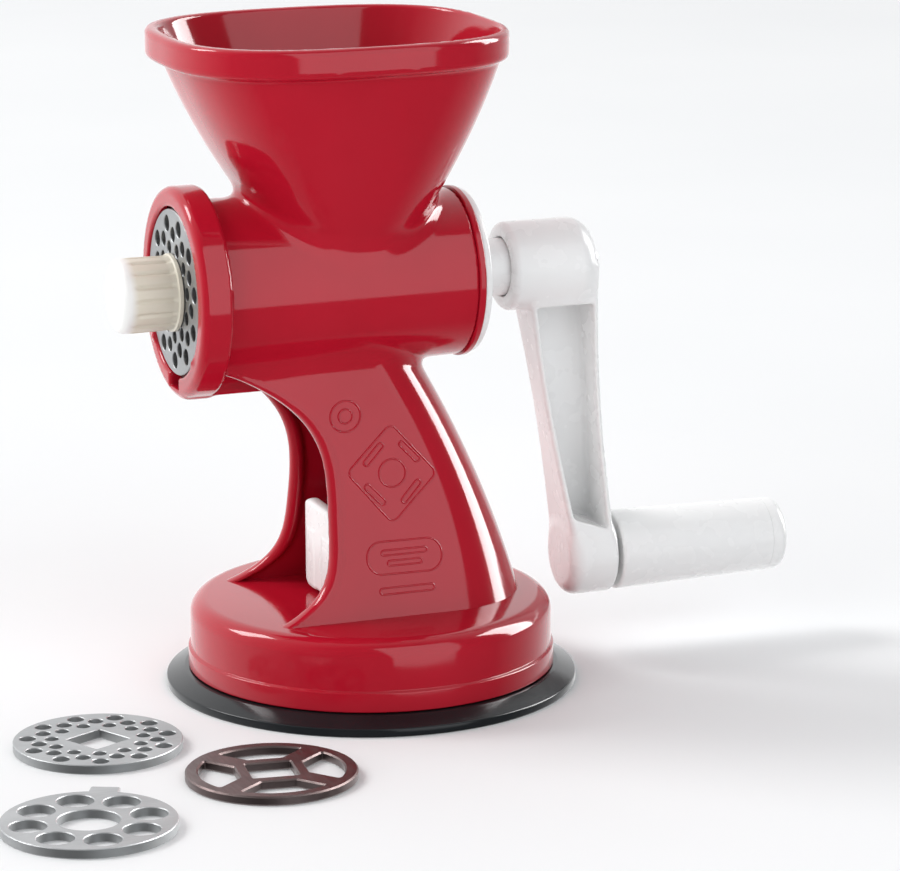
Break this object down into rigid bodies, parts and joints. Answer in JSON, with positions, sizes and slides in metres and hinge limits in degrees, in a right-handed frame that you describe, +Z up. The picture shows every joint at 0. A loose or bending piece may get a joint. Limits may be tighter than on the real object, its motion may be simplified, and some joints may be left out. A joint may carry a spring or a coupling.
{
  "type": "hand crank meat grinder",
  "caption": "Hand crank meat grinder: square hopper on a horizontal barrel with perforated plates and clamp nut, side crank, hollow stand on a round suction base, spare plates beside it.",
  "frame": {"origin": "centre of the suction base's rest plane on the worktop", "axes": "+Z up, +X along the barrel axis from the plates towards the crank, -Y the side with the plain flat panel seen in front"},
  "size_m": [0.3071, 0.2127, 0.22],
  "materials": {
    "red_plastic": "high gloss moulded red",
    "white_nylon": "semi-gloss moulded white",
    "cream_nylon": "satin natural nylon",
    "plate_steel": "ground steel",
    "knife_steel": "dark oiled steel",
    "plain_steel": "turned steel",
    "black_rubber": "smooth glossy black"
  },
  "bodies": {
    "body": {"hopper": "red_plastic", "barrel": "red_plastic", "stand": "red_plastic", "base_shell": "red_plastic", "rear_bush": "white_nylon", "fixed_plate": "knife_steel", "suction_pad": "black_rubber", "wear_washer": "plain_steel"},
    "stud": {"suction_stud": "plain_steel", "pad_plate": "plain_steel", "lever_pin": "plain_steel"},
    "lever": {"suction_lever": "white_nylon"},
    "drive": {"feed_screw": "white_nylon", "thrust_washer": "cream_nylon", "rotating_plate": "plate_steel", "crank_arm": "white_nylon", "crank_screw": "plain_steel", "crank_washer": "plain_steel", "handle_pin": "plain_steel", "handle_washer": "plain_steel"},
    "nut": {"clamp_nut": "cream_nylon"},
    "grip": {"handle_grip": "white_nylon", "grip_cap": "white_nylon"},
    "fine_plate": {"loose_fine_plate": "plate_steel"},
    "coarse_plate": {"loose_coarse_plate": "plate_steel"},
    "knife": {"loose_knife_disc": "knife_steel"}
  },
  "joints": [
    {"name": "crank_spin", "type": "hinge", "parent": "body", "child": "drive", "pos_m": [0, 0, 0.1366], "axis": [1, 0, 0], "continuous": true},
    {"name": "grip_spin", "type": "hinge", "parent": "drive", "child": "grip", "pos_m": [0.0865, 0, 0.0353], "axis": [1, 0, 0], "continuous": true},
    {"name": "nut_unscrew", "type": "slide", "parent": "drive", "child": "nut", "axis": [-1, 0, 0], "range_m": [0, 0.03]},
    {"name": "stud_lift", "type": "slide", "parent": "body", "child": "stud", "axis": [0, 0, 1], "range_m": [-0.003, 0], "deforming": ["suction_pad"]},
    {"name": "suction_lever", "type": "hinge", "parent": "stud", "child": "lever", "pos_m": [0, 0, 0.039], "axis": [0, 1, 0], "range_deg": [0, 90]},
    {"name": "fine_plate_lift", "type": "slide", "parent": "body", "child": "fine_plate", "axis": [0, 0, 1], "range_m": [0, 0.05]},
    {"name": "coarse_plate_lift", "type": "slide", "parent": "body", "child": "coarse_plate", "axis": [0, 0, 1], "range_m": [0, 0.05]},
    {"name": "knife_lift", "type": "slide", "parent": "body", "child": "knife", "axis": [0, 0, 1], "range_m": [0, 0.05]}
  ],
  "couplings": [
    {"joint": "suction_lever", "follows": "stud_lift", "rad_per_m": -523.6}
  ]
}
